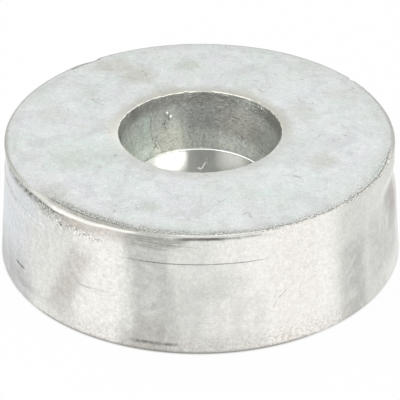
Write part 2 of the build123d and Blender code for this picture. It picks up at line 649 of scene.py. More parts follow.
class Nodes:
    """Adds and links nodes of one tree, so that a material reads as a recipe."""

    def __init__(self, tree):
        self.tree = tree

    def add(self, kind, **settings):
        """A node; settings named after its inputs set or link them."""
        node = self.tree.nodes.new(kind)
        inputs = settings.pop("inputs", {})
        for name, value in settings.items():
            setattr(node, name, value)
        for key, value in inputs.items():
            self.feed(node.inputs[key], value)
        return node

    def feed(self, socket, value):
        if isinstance(value, bpy.types.NodeSocket):
            self.tree.links.new(value, socket)
        elif isinstance(value, bpy.types.Node):
            self.tree.links.new(value.outputs[0], socket)
        else:
            socket.default_value = value

    def math(self, operation, a, b=0.0, c=0.0, clamp=False):
        node = self.add("ShaderNodeMath", operation=operation, use_clamp=clamp)
        for socket, value in zip(node.inputs, (a, b, c)):
            self.feed(socket, value)
        return node.outputs[0]

    def vector(self, operation, a, b=None, scale=None):
        node = self.add("ShaderNodeVectorMath", operation=operation)
        self.feed(node.inputs[0], a)
        if b is not None:
            self.feed(node.inputs[1], b)
        if scale is not None:
            self.feed(node.inputs["Scale"], scale)
        gives_value = operation in ("LENGTH", "DISTANCE", "DOT_PRODUCT")
        return node.outputs["Value" if gives_value else "Vector"]

    def times(self, value, *factors):
        """Product of two or more values."""
        for factor in factors:
            value = self.math("MULTIPLY", value, factor)
        return value

    def muladd(self, value, factor, more, clamp=False):
        """value * factor + more."""
        return self.math("MULTIPLY_ADD", value, factor, more, clamp)

    def sway(self, mask, depth, middle):
        """A mask about 0.5 turned into a variation of the given depth about a middle."""
        return self.muladd(self.math("SUBTRACT", mask, 0.5), depth, middle)

    def near(self, value, level, inner, outer):
        """1 within inner of a level, fading to 0 at outer."""
        off = self.math("ABSOLUTE", self.math("SUBTRACT", value, level))
        return self.ramp(off, inner, outer, 1.0, 0.0)

    def ramp(self, value, low, high, to_low=0.0, to_high=1.0):
        """Smooth step from to_low at low to to_high at high."""
        node = self.add("ShaderNodeMapRange", interpolation_type="SMOOTHSTEP")
        for key, item in zip(
            ("Value", "From Min", "From Max", "To Min", "To Max"),
            (value, low, high, to_low, to_high),
        ):
            self.feed(node.inputs[key], item)
        return node.outputs[0]

    def noise(self, vector, scale, detail=4.0, roughness=0.55, distortion=0.0):
        node = self.add("ShaderNodeTexNoise")
        for key, item in (
            ("Vector", vector), ("Scale", scale), ("Detail", detail),
            ("Roughness", roughness), ("Distortion", distortion),
        ):
            self.feed(node.inputs[key], item)
        return node.outputs["Fac"]

    def mix(self, factor, a, b, blend="MIX"):
        """Mixes two colours."""
        node = self.add("ShaderNodeMix", data_type="RGBA", blend_type=blend)
        self.feed(node.inputs["Factor"], factor)
        for socket, value in zip([s for s in node.inputs if s.type == "RGBA"], (a, b)):
            self.feed(socket, opaque(value))
        return next(s for s in node.outputs if s.type == "RGBA")

    def shade(self, tone, factor):
        """A colour made lighter or darker by a factor."""
        return self.mix(1.0, tone, self.combine(factor, factor, factor), "MULTIPLY")

    def combine(self, x, y, z):
        node = self.add("ShaderNodeCombineXYZ")
        for socket, value in zip(node.inputs, (x, y, z)):
            self.feed(socket, value)
        return node.outputs[0]

    def group(self, tree, **values):
        """Places a shared effect; underscores in the names stand for spaces."""
        node = self.add("ShaderNodeGroup", node_tree=tree)
        for name, value in values.items():
            self.feed(node.inputs[name.replace("_", " ")], value)
        return node


def opaque(value):
    """A plain colour gets its alpha; a socket is passed on."""
    if isinstance(value, (bpy.types.NodeSocket, bpy.types.Node)):
        return value
    return (*value[:3], 1.0)


SOCKETS = {"float": "NodeSocketFloat", "vector": "NodeSocketVector", "colour": "NodeSocketColor"}


def effect_group(name, inputs, outputs, build):
    """A shader node group, built once. build gets the nodes and the group's inputs."""
    if name in bpy.data.node_groups:
        return bpy.data.node_groups[name]
    tree = bpy.data.node_groups.new(name, "ShaderNodeTree")
    for label, kind, default in inputs:
        socket = tree.interface.new_socket(label, in_out="INPUT", socket_type=SOCKETS[kind])
        if default is not None:
            socket.default_value = default
    for label, kind in outputs:
        tree.interface.new_socket(label, in_out="OUTPUT", socket_type=SOCKETS[kind])
    nodes = Nodes(tree)
    source, sink = nodes.add("NodeGroupInput"), nodes.add("NodeGroupOutput")
    for label, value in build(nodes, source.outputs).items():
        nodes.feed(sink.inputs[label], value)
    return tree


# ---------------------------------------------------------------- shared effects

# Height in mm at which a leaning band keeps its own direction.
LEAN_HEIGHT_MM = 17.0


def ring_coordinates():
    """Object coordinates as direction, radius and height of the ring, in degrees and mm."""
    def build(n, given):
        parts = n.add("ShaderNodeSeparateXYZ", inputs={"Vector": given["Vector"]}).outputs
        flat = n.combine(parts["X"], parts["Y"], 0.0)
        around = n.vector("NORMALIZE", flat)
        turned = n.add("ShaderNodeSeparateXYZ", inputs={"Vector": around}).outputs
        height = n.times(parts["Z"], 1 / MM)
        turn = n.math("ARCTAN2", parts["Y"], parts["X"])
        return {
            "Direction": n.times(turn, 180 / math.pi),
            "Radius": n.times(n.vector("LENGTH", flat), 1 / MM),
            "Height": height,
            "Around": n.combine(turned["X"], turned["Y"], height),
        }
    return effect_group(
        "Ring Coordinates", [("Vector", "vector", None)],
        [("Direction", "float"), ("Radius", "float"), ("Height", "float"),
         ("Around", "vector")], build)


def mottle():
    """Cloudy variation at three scales, about 0.5 in the middle."""
    def build(n, given):
        vector, scale = given["Vector"], given["Scale"]
        broad = n.noise(vector, scale, 3.0, 0.5, 0.6)
        middle = n.noise(vector, n.times(scale, 4.3), 4.0, 0.6, 0.3)
        fine = n.noise(vector, n.times(scale, 21.0), 3.0, 0.6)
        total = n.times(broad, 0.5)
        total = n.muladd(middle, 0.32, total)
        total = n.muladd(fine, 0.18, total)
        return {"Mask": total}
    return effect_group(
        "Mottle", [("Vector", "vector", None), ("Scale", "float", 30.0)],
        [("Mask", "float")], build)


def cast_grain():
    """Fine grain that lightens and darkens a colour round its own value."""
    def build(n, given):
        fine = n.noise(given["Vector"], given["Scale"], 1.5, 0.6)
        coarse = n.noise(given["Vector"], n.times(given["Scale"], 0.36), 2.0, 0.6)
        total = n.times(n.math("SUBTRACT", fine, 0.5), given["Depth"])
        total = n.sway(coarse, n.times(given["Depth"], 0.6), total)
        return {"Color": n.shade(given["Color"], n.math("ADD", total, 1.0)), "Height": fine}
    return effect_group(
        "Cast Grain",
        [("Color", "colour", None), ("Vector", "vector", None), ("Scale", "float", 1500.0),
         ("Depth", "float", 0.4)],
        [("Color", "colour"), ("Height", "float")], build)


def hairlines():
    """Thin wandering scratches: narrow bands of a stretched noise."""
    def build(n, given):
        turned = n.add("ShaderNodeVectorRotate", rotation_type="Z_AXIS")
        n.feed(turned.inputs["Vector"], given["Vector"])
        n.feed(turned.inputs["Angle"], given["Angle"])
        stretched = n.vector("MULTIPLY", turned.outputs[0], given["Stretch"])
        field = n.noise(stretched, given["Scale"], 1.0, 0.4, 0.15)
        line = n.near(field, 0.5, 0.0, given["Width"])
        here = n.noise(given["Vector"], n.times(given["Scale"], 1.7), 1.0)
        return {"Mask": n.times(line, n.ramp(here, 0.5, 0.62))}
    return effect_group(
        "Hairlines",
        [("Vector", "vector", None), ("Angle", "float", 0.0), ("Scale", "float", 40.0),
         ("Stretch", "vector", (1.0, 14.0, 1.0)), ("Width", "float", 0.004)],
        [("Mask", "float")], build)


def pits():
    """Sparse round pin holes, from random cells."""
    def build(n, given):
        cell = n.add("ShaderNodeTexVoronoi", feature="F1")
        n.feed(cell.inputs["Vector"], given["Vector"])
        n.feed(cell.inputs["Scale"], given["Scale"])
        lottery = n.add(
            "ShaderNodeSeparateColor", inputs={"Color": cell.outputs["Color"]}).outputs
        chosen = n.math("LESS_THAN", lottery[0], given["Share"])
        size = n.muladd(lottery[1], 0.16, 0.06)
        dot = n.ramp(cell.outputs["Distance"], n.times(size, 0.35), size, 1.0, 0.0)
        return {"Mask": n.times(dot, chosen)}
    return effect_group(
        "Pin Holes",
        [("Vector", "vector", None), ("Scale", "float", 300.0), ("Share", "float", 0.08)],
        [("Mask", "float")], build)


def blotch():
    """One stain at a chosen place, with a ragged edge."""
    def build(n, given):
        ragged = n.noise(given["Vector"], given["Ragged Scale"], 5.0, 0.62)
        away = n.vector("DISTANCE", given["Vector"], given["Centre"])
        share_out = n.math("DIVIDE", away, given["Reach"])
        pushed = n.sway(ragged, given["Ragged"], share_out)
        mask = n.ramp(pushed, 0.25, 1.0, 1.0, 0.0)
        return {"Mask": n.times(mask, given["Strength"])}
    return effect_group(
        "Blotch",
        [("Vector", "vector", None), ("Centre", "vector", None), ("Reach", "float", 0.01),
         ("Strength", "float", 1.0), ("Ragged", "float", 1.2), ("Ragged Scale", "float", 260.0)],
        [("Mask", "float")], build)


def upright_band():
    """Soft upright band on the ring: its middle may lean, and its ends fade."""
    def build(n, given):
        lean = n.times(n.math("SUBTRACT", given["Height"], LEAN_HEIGHT_MM), given["Lean"])
        middle = n.math("ADD", given["Middle"], lean)
        turn = n.math("WRAP", n.math("SUBTRACT", given["Direction"], middle), 180.0, -180.0)
        across = n.ramp(
            n.math("ABSOLUTE", turn), given["Half"],
            n.math("ADD", given["Half"], given["Soft"]), 1.0, 0.0)
        below = n.ramp(
            given["Height"], given["Low"], n.math("ADD", given["Low"], given["Fade"]))
        above = n.ramp(
            given["Height"], n.math("SUBTRACT", given["High"], given["Fade"]), given["High"],
            1.0, 0.0)
        return {"Mask": n.times(across, n.times(below, above), given["Strength"])}
    return effect_group(
        "Upright Band",
        [("Direction", "float", 0.0), ("Height", "float", 0.0), ("Middle", "float", 0.0),
         ("Half", "float", 10.0), ("Soft", "float", 10.0), ("Lean", "float", 0.0),
         ("Low", "float", -20.0), ("High", "float", 60.0), ("Fade", "float", 6.0),
         ("Strength", "float", 1.0)],
        [("Mask", "float")], build)


def straight_mark():
    """Tapered scratch between two points of a flat or unrolled surface, in mm."""
    def build(n, given):
        run = n.vector("SUBTRACT", given["End"], given["Start"])
        unit = n.vector("NORMALIZE", run)
        reach = n.vector("LENGTH", run)
        offset = n.vector("SUBTRACT", given["Place"], given["Start"])
        along = n.vector("DOT_PRODUCT", offset, unit)
        side = n.vector("SUBTRACT", offset, n.vector("SCALE", unit, scale=along))
        wobble = n.noise(given["Place"], 0.5, 2.0)
        bend = n.times(n.math("SUBTRACT", wobble, 0.5), given["Wobble"])
        across = n.math("ADD", n.vector("LENGTH", side), n.math("ABSOLUTE", bend))
        line = n.ramp(
            across, n.times(given["Width"], 0.4), given["Width"], 1.0, 0.0)
        off_middle = n.math("ABSOLUTE", n.muladd(reach, -0.5, along))
        taper = n.ramp(
            off_middle, n.times(reach, 0.25), n.times(reach, 0.5),
            1.0, 0.0)
        return {"Mask": n.times(line, taper, given["Strength"])}
    return effect_group(
        "Straight Mark",
        [("Place", "vector", None), ("Start", "vector", None), ("End", "vector", None),
         ("Width", "float", 0.15), ("Wobble", "float", 0.3), ("Strength", "float", 1.0)],
        [("Mask", "float")], build)


# ---------------------------------------------------------------- materials

class ZincMaterial:
    """A Principled metal with its coordinates ready, filled in by each finish."""

    def __init__(self, name):
        self.material = bpy.data.materials.new(name)
        self.material.use_nodes = True
        self.n = Nodes(self.material.node_tree)
        self.shader = self.material.node_tree.nodes["Principled BSDF"]
        self.shader.inputs["Metallic"].default_value = 1.0
        self.vector = self.n.add("ShaderNodeTexCoord").outputs["Object"]
        ring = self.n.group(ring_coordinates(), Vector=self.vector).outputs
        self.direction, self.radius = ring["Direction"], ring["Radius"]
        self.height, self.around = ring["Height"], ring["Around"]

    def stored(self, name):
        """A value stored on the mesh."""
        return self.n.add("ShaderNodeAttribute", attribute_name=name).outputs["Fac"]

    def effect(self, tree, **values):
        """Mask of a shared effect, in the object's own coordinates."""
        return self.n.group(tree, Vector=self.vector, **values).outputs[0]

    def stretched(self, stretch, *settings):
        """Noise whose coordinates are first multiplied along X, Y and Z."""
        return self.n.noise(self.n.vector("MULTIPLY", self.vector, stretch), *settings)

    def ringed(self, stretch, detail, roughness):
        """The same with coordinates that follow the ring: direction twice, height in mm."""
        turned = self.n.vector("MULTIPLY", self.around, stretch)
        return self.n.noise(turned, 1.0, detail, roughness)

    def band(self, middle, half, soft, **more):
        """Mask over a span of directions, and of heights where they are given."""
        return self.n.group(
            upright_band(), Direction=self.direction, Height=self.height, Middle=middle,
            Half=half, Soft=soft, **more).outputs[0]

    def most(self, masks):
        """The strongest of several masks."""
        total = 0.0
        for mask in masks:
            total = self.n.math("MAXIMUM", total, mask)
        return total

    def lay(self, tone, *layers):
        """Lays colours over a tone, one after the other: pairs of mask and colour."""
        for mask, layer in layers:
            tone = self.n.mix(mask, tone, layer)
        return tone

    def blotches(self, places, ragged=1.2):
        """Sum of stains on the top face: x, y and reach in mm, strength."""
        total = 0.0
        for x, y, reach, strength in places:
            mask = self.effect(
                blotch(), Centre=Vector((x, y, FACE_HEIGHT_MM)) * MM, Reach=reach * MM,
                Strength=strength, Ragged=ragged)
            total = self.n.math("ADD", total, mask, clamp=True)
        return total

    def marks(self, place, lines):
        """Scratches: start, end and width in mm, strength."""
        return self.most(
            self.n.group(
                straight_mark(), Place=place, Start=(*start, 0.0), End=(*end, 0.0),
                Width=width, Strength=strength).outputs[0]
            for start, end, width, strength in lines)

    def wall_marks(self, radius_mm, lines):
        """Scratches on a wall unrolled at a radius: ends as direction and height."""
        mm_per_degree = math.pi * radius_mm / 180.0
        unrolled = self.n.times(self.direction, mm_per_degree)
        return self.marks(self.n.combine(unrolled, self.height, 0.0), tuple(
            ((a * mm_per_degree, low), (b * mm_per_degree, high), width, strength)
            for (a, low), (b, high), width, strength in lines))

    def grain(self, colour_socket, scale, depth):
        """The colour with fine grain in it, and the grain's own height."""
        node = self.n.group(
            cast_grain(), Color=colour_socket, Vector=self.vector, Scale=scale, Depth=depth)
        return node.outputs["Color"], node.outputs["Height"]

    def finish(self, colour_socket, roughness, height, depth_mm):
        """Feeds the shader: colour, roughness and a bump of the given depth."""
        n = self.n
        n.feed(self.shader.inputs["Base Color"], colour_socket)
        n.feed(self.shader.inputs["Roughness"], roughness)
        bump = n.add("ShaderNodeBump", inputs={"Height": height, "Strength": 1.0})
        bump.inputs["Distance"].default_value = depth_mm * MM
        n.feed(self.shader.inputs["Normal"], bump.outputs[0])
        return self.material


# Heights and radii in mm that the masks are tied to: the top face, the topmost strip
# of the bevel, the joint line's dark seam, the shade on the seat, and the radius that
# parts the bevel from the lip of the recess.
FACE_HEIGHT_MM = 40
TOP_STRIP_MM = (39.70, 39.86)
SEAM_HEIGHT_MM = 30.35
SEAT_SHADE_MM = (21.03, 21.12)
BEVEL_INSIDE_MM = 40.0

# Radii in mm at which the walls are unrolled for their scratches.
SIDE_RADIUS_MM = 62.5
RECESS_RADIUS_MM = 24.4
BORE_RADIUS_MM = 21.7

# Scratches in the top face: start and end as x and y, width in mm and strength.
FACE_SCRATCHES = (
    ((23.0, -50.0), (27.5, -50.6), 0.22, 0.55),
    ((25.4, -44.0), (27.6, -43.2), 0.40, 0.60),
    ((31.0, -46.5), (34.5, -46.6), 0.20, 0.45),
    ((29.0, -32.6), (37.5, -33.4), 0.20, 0.30),
    ((22.0, -37.5), (26.0, -37.3), 0.20, 0.30),
    ((-37.0, -45.5), (-31.5, -48.5), 0.35, 0.45),
    ((-24.5, -49.6), (-20.0, -51.0), 0.30, 0.50),
    ((-30.0, -22.0), (-21.0, -24.5), 0.18, 0.28),
    ((-27.0, -19.5), (-18.5, -26.0), 0.16, 0.22),
    ((-50.5, 18.5), (-46.0, 21.5), 0.25, 0.25),
    ((2.5, -29.0), (4.0, -29.2), 0.30, 0.50),
    ((-8.0, 44.0), (7.0, 45.5), 0.20, 0.16),
)

# Stains on the top face: x, y and reach in mm, strength.
TARNISH_STAINS = (
    (-20, 37, 8, 1.0), (-27, 45, 8, 0.8), (-33, 43, 5, 0.6), (38, -19, 7, 0.75),
    (33, 11, 7, 0.5), (-43, -36, 8, 0.5), (-12, 27, 8, 0.6), (14, 25, 7, 0.5),
    (36, 42, 9, 0.4), (24, -46, 3.5, 0.3), (46, 24, 9, 0.4), (-47, 12, 8, 0.35),
)
OLIVE_STAINS = (
    (-3, 45, 6, 0.9), (-38, -17, 9, 0.55), (-15, -45, 4.5, 0.8), (-36, 26, 6, 0.45),
    (15, -38, 5, 0.45), (-28, -16, 6, 0.4), (3, -32, 5, 0.3),
)
PALE_STAINS = (
    (10, -50, 10, 0.8), (31, 27, 13, 0.7), (-47, 1, 8, 0.7), (52, -6, 6, 0.5),
    (-30, 12, 9, 0.4), (22, -30, 8, 0.35),
)


def face_material(finish):
    """Pale satin top face: tarnish clouds, scratches, pits and a rough rim."""
    m = ZincMaterial("zinc_top_face")
    n = m.n
    clouds = m.effect(mottle(), Scale=34.0)
    wisps = m.stretched((1.0, 0.6, 1.0), 95.0, 5.0, 0.62, 1.4)
    brushed = m.stretched((1.0, 0.22, 1.0), 420.0, 4.0, 0.65)
    speckle = m.stretched((1.0, 0.7, 1.0), 2400.0, 2.0, 0.7)
    crumple = n.noise(m.vector, 130.0, 6.0, 0.68, 1.3)
    fine_scratches = m.most((
        m.effect(hairlines(), Angle=0.25, Scale=26.0, Width=0.0035),
        m.effect(hairlines(), Angle=-0.9, Scale=19.0, Width=0.003),
        m.effect(hairlines(), Angle=0.6, Scale=75.0, Width=0.010, Stretch=(1.0, 3.0, 1.0))))
    pale_scratches = n.times(m.effect(hairlines(), Angle=1.5, Scale=22.0, Width=0.004), 0.5)
    scratches = n.math("MAXIMUM", n.times(fine_scratches, 0.35), m.marks(
        n.vector("SCALE", m.vector, scale=1 / MM), FACE_SCRATCHES))
    holes = m.effect(pits(), Scale=230.0, Share=0.03)
    stains = m.blotches(TARNISH_STAINS)
    olive = m.blotches(OLIVE_STAINS, ragged=1.5)

    inboard = m.stored("from_rim")
    front = m.band(-105.0, 27.0, 12.0)
    right = m.band(-44.0, 26.0, 10.0)
    worn_rim = n.muladd(m.band(-155.0, 8.0, 6.0), -0.8, 1.0)
    reach = n.math("MAXIMUM", n.muladd(front, 2.1, 0.1), n.times(right, 1.6))
    reach = n.times(reach, n.ramp(crumple, 0.35, 0.60, 0.6, 1.3))
    ragged = n.sway(speckle, 2.6, inboard)
    edge = n.times(
        n.ramp(n.math("SUBTRACT", ragged, reach), -0.7, 0.5, 1.0, 0.0),
        n.ramp(speckle, 0.44, 0.56, 0.20, 1.0), n.muladd(right, -0.75, 1.0),
        m.most((front, right, 0.35)), worn_rim)
    outline = n.times(
        n.ramp(inboard, 0.12, n.muladd(speckle, 0.9, 0.20), 1.0, 0.0),
        n.ramp(speckle, 0.42, 0.50, 0.35, 1.0), n.muladd(right, 0.65, 0.32), worn_rim)
    chipped = n.times(m.band(129.5, 5.0, 1.5), n.ramp(inboard, 0.8, 1.5, 0.55, 0.0))
    dotted = n.math("MAXIMUM", right, n.times(front, 0.8))
    dots = n.times(n.ramp(inboard, 0.9, n.muladd(crumple, 3.2, 1.0), 1.0, 0.0), dotted)
    glints = n.times(dots, n.ramp(speckle, 0.43, 0.37))
    dots = n.times(dots, n.ramp(speckle, 0.545, 0.59))
    worn_edge = n.times(
        n.ramp(n.muladd(crumple, -3.0, inboard), 0.2, 4.0, 1.0, 0.0),
        m.most((m.band(-120.0, 20.0, 14.0), 0.5)), worn_rim)
    mouth = n.times(
        n.ramp(m.radius, 26.6, n.muladd(wisps, 6.0, 28.4), 1.0, 0.0),
        n.muladd(m.band(90.0, 80.0, 35.0), 0.55, 0.42))
    lip_gleam = n.times(
        m.most((m.band(66.0, 12.0, 5.0), m.band(96.5, 2.0, 2.0))),
        n.ramp(m.radius, 25.9, 26.7, 1.0, 0.0), n.ramp(speckle, 0.40, 0.52, 0.2, 1.0))

    pale = m.blotches(PALE_STAINS)
    patches = n.noise(m.vector, 58.0, 4.0, 0.55, 0.9)
    tarnish = n.muladd(n.ramp(clouds, 0.49, 0.66), 0.25, stains, clamp=True)
    tone = m.lay(
        finish.face_colour,
        (n.ramp(patches, 0.50, 0.62), (0.630, 0.686, 0.660)),
        (n.ramp(patches, 0.46, 0.36), (0.655, 0.668, 0.680)),
        (n.ramp(wisps, 0.50, 0.66, 0.0, 0.7), (0.575, 0.595, 0.59)),
        (n.ramp(clouds, 0.48, 0.38, 0.0, 0.8), (0.72, 0.745, 0.735)),
        (n.ramp(crumple, 0.50, 0.64, 0.0, 0.5), (0.55, 0.565, 0.565)),
        (n.ramp(crumple, 0.44, 0.34, 0.0, 0.5), (0.76, 0.78, 0.775)),
        (n.times(tarnish, 0.68), finish.tarnish_colour),
        (n.times(olive, 0.62), (0.48, 0.525, 0.45)),
        (n.times(pale, 0.50), (0.73, 0.76, 0.75)),
        (n.times(mouth, 0.85), finish.tarnish_colour),
        (n.times(worn_edge, 0.42), (0.47, 0.47, 0.44)),
        (pale_scratches, (0.80, 0.82, 0.81)))
    tone, grain = m.grain(tone, 2300.0, 0.46)
    # Painted shade: darker on the curved outer edge of the face at the front left, so that it
    # shows less of the overhead softbox; its roughness is raised too.
    shoulder = n.times(m.band(-122.0, 14.0, 5.0), n.ramp(inboard, 0.35, 0.95, 1.0, 0.0))
    dark = m.most((
        scratches, n.times(holes, 0.55), dots, outline, chipped,
        n.times(m.stored("pressed"), 0.75)))
    tone = m.lay(
        tone,
        (n.times(edge, 0.85), (0.30, 0.305, 0.28)),
        (n.times(shoulder, n.ramp(speckle, 0.40, 0.58, 0.35, 0.75)), (0.30, 0.30, 0.28)),
        (m.most((n.times(glints, 0.7), lip_gleam)), (0.95, 0.95, 0.90)),
        (dark, finish.dirt_and_shade_colour))

    roughness = n.sway(clouds, 0.25, finish.face_roughness)
    roughness = n.muladd(tarnish, 0.12, roughness)
    roughness = n.muladd(shoulder, 0.35, roughness)
    height = n.muladd(grain, 0.35, n.times(brushed, 0.25))
    height = n.math("SUBTRACT", height, n.times(dark, 0.5))
    height = n.muladd(n.times(edge, speckle), -1.0, height)
    return m.finish(tone, roughness, height, 0.05)


def rim_material(finish):
    """Bare dressed metal on the bevel, chattered on the right, and a painted highlight along the
    lip.
    """
    m = ZincMaterial("zinc_dressed_rim")
    n = m.n
    chatter = n.noise(m.around, 48.0, 3.0, 0.7)
    speckle = n.noise(m.vector, 2200.0, 2.0, 0.7)
    inboard = m.stored("from_rim")
    right = m.band(-44.0, 28.0, 8.0)
    rough = n.math("MAXIMUM", right, m.band(80.0, 70.0, 20.0, Strength=0.7))
    fresh = m.most((
        m.band(-137.0, 5.0, 6.0, Strength=0.12), m.band(-85.0, 9.0, 6.0, Strength=0.35),
        n.times(right, 0.8)))
    top_strip = n.ramp(m.height, *TOP_STRIP_MM)
    lower = n.times(
        n.ramp(inboard, 0.60, 0.25), m.band(-122.0, 12.0, 5.0),
        n.math("SUBTRACT", 1.0, top_strip))
    kink = n.times(n.ramp(inboard, 0.52, 0.74), m.band(-123.0, 14.0, 5.0))
    tone = m.lay(
        (0.52, 0.52, 0.485),
        (fresh, finish.rim_colour),
        (n.times(lower, 0.85), (0.91, 0.905, 0.85)),
        (n.times(kink, 0.25), (0.31, 0.31, 0.29)))

    chattered = n.times(rough, n.ramp(speckle, 0.52, 0.60))
    soiled = n.times(m.band(-112.0, 10.0, 8.0), n.ramp(inboard, 0.35, 0.6))
    upper = n.times(
        n.ramp(inboard, 0.15, 0.95), m.band(-126.0, 12.0, 8.0),
        n.ramp(speckle, 0.40, 0.60, 0.12, 0.42))
    # Painted shade: a thin dark line across the bevel at the left, as of a groove.
    groove = n.times(n.near(inboard, 0.62, 0.05, 0.16), m.band(-170.0, 14.0, 14.0))
    inner_edge = n.times(
        n.ramp(inboard, 0.66, 1.02), m.band(-122.0, 22.0, 12.0),
        n.ramp(speckle, 0.42, 0.54, 0.4, 1.0))
    dirty_edge = n.times(
        n.ramp(inboard, 0.60, 0.78), m.band(-116.0, 12.0, 6.0),
        n.ramp(speckle, 0.40, 0.58, 0.38, 0.75))
    dirty_strip = n.times(
        top_strip, m.band(-121.0, 15.0, 6.0), n.ramp(speckle, 0.40, 0.58, 0.35, 0.70))
    marks = m.most((
        n.times(chattered, 0.80), n.times(soiled, 0.45), dirty_edge, dirty_strip, upper,
        n.times(groove, 0.55), n.times(inner_edge, 0.65)))
    tone = n.mix(marks, tone, finish.dirt_and_shade_colour)

    # Painted highlight: the lip of the recess is near white, as its rounded edge catches the
    # light, broken by darker gaps.
    gaps = n.ramp(n.noise(m.around, 9.0, 3.0, 0.6), 0.52, 0.62)
    gaps = m.most((
        n.times(gaps, 0.75), m.band(30.0, 16.0, 10.0, Strength=0.80),
        m.band(86.5, 4.0, 3.0, Strength=0.70)))
    lip = n.mix(gaps, (0.96, 0.95, 0.84), (0.40, 0.39, 0.34))
    on_bevel = n.math("GREATER_THAN", m.radius, BEVEL_INSIDE_MM)
    tone, grain = m.grain(n.mix(on_bevel, lip, tone), 1400.0, 0.30)
    roughness = n.muladd(kink, 0.20, n.muladd(rough, 0.18, 0.36))
    return m.finish(tone, roughness, n.muladd(grain, 0.4, chatter), 0.06)


# Scratches and cracks in the side: ends as direction in degrees and height in mm,
# width in mm and strength.
SIDE_SCRATCHES = (
    ((-155.2, 10.3), (-148.0, 10.4), 0.42, 1.0),
    ((-153.0, 9.5), (-149.5, 9.6), 0.22, 0.5),
    ((-152.5, 13.6), (-150.2, 13.9), 0.16, 0.25),
    ((-127.5, 17.0), (-114.0, 17.4), 0.22, 0.30),
    ((-125.5, 16.9), (-121.0, 16.7), 0.26, 0.40),
    ((-65.4, 19.2), (-68.9, 16.0), 0.16, 0.55),
    ((-68.9, 16.0), (-70.2, 13.2), 0.18, 0.50),
    ((-113.0, 14.6), (-106.0, 14.0), 0.12, 0.22),
    ((-92.0, 11.0), (-86.0, 10.4), 0.12, 0.18),
    ((-109.5, 35.8), (-97.0, 34.6), 0.20, 0.45),
    ((-106.0, 37.2), (-90.0, 36.0), 0.18, 0.50),
)


